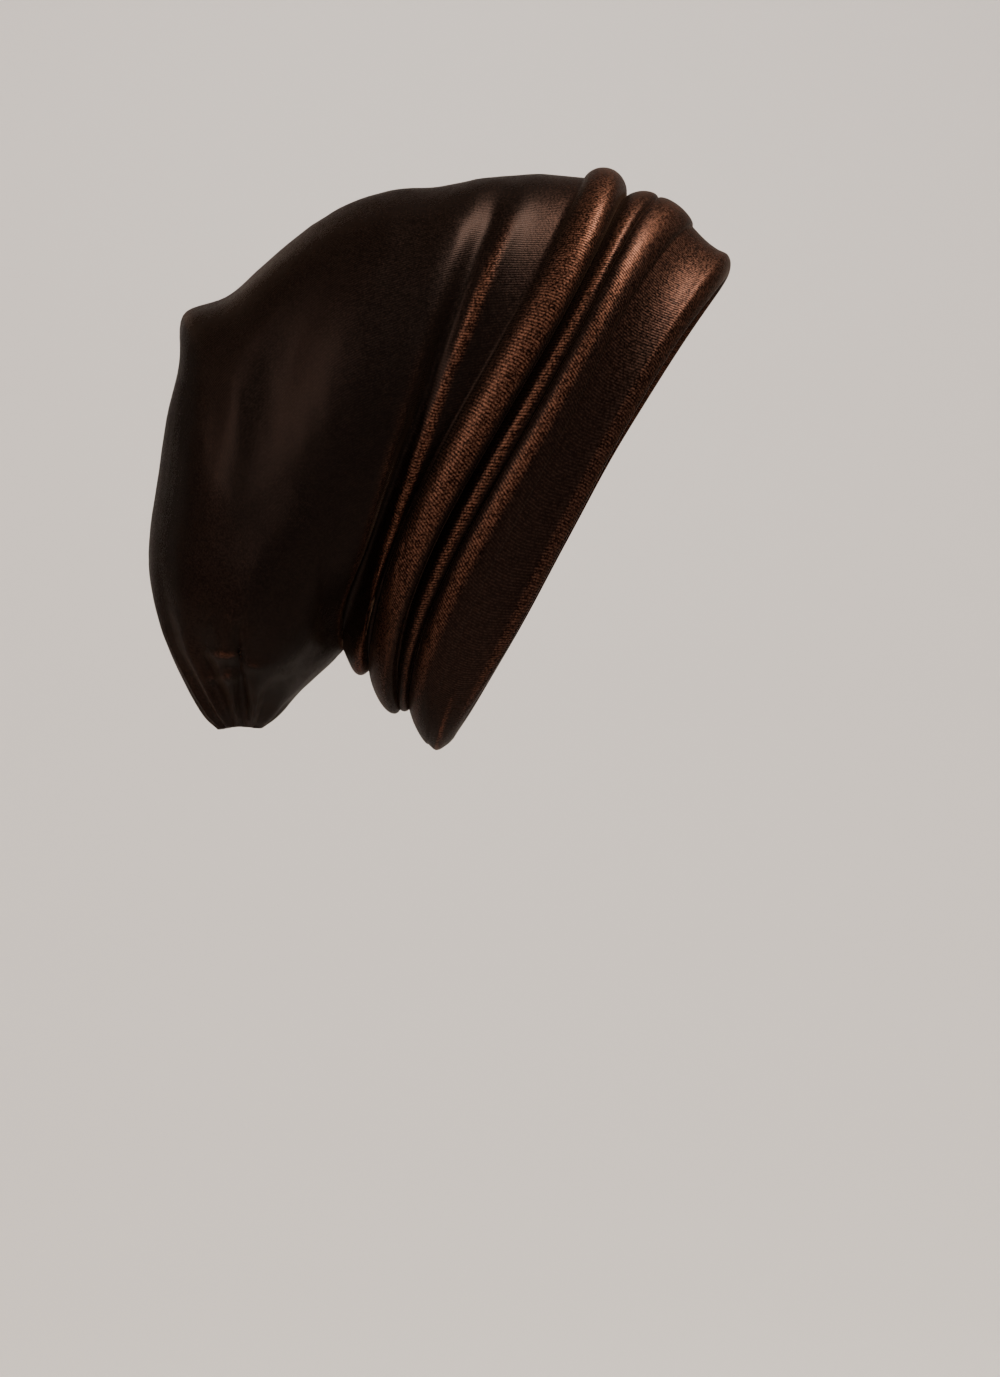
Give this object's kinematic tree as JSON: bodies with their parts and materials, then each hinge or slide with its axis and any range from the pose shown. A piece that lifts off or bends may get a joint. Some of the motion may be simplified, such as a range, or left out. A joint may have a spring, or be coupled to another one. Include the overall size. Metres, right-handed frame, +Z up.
{
  "type": "slouchy beanie",
  "caption": "Slouchy beanie of dark brown ribbed stretch velvet in its worn form: smooth face band with a rolled hem, ruched folds behind it and a hanging pouch drawn together at the tip.",
  "frame": {"origin": "centre of the rim, where the wearer's head goes in", "axes": "+X the way the wearer faces, +Y the wearer's left, +Z up"},
  "size_m": [0.2419, 0.1845, 0.2421],
  "materials": {
    "band_velvet": "ribbed stretch velvet with a bronze sheen",
    "crown_velvet": "ribbed stretch velvet with a bronze sheen"
  },
  "bodies": {
    "root": {"face_band": "band_velvet", "crown": "crown_velvet"}
  },
  "joints": []
}
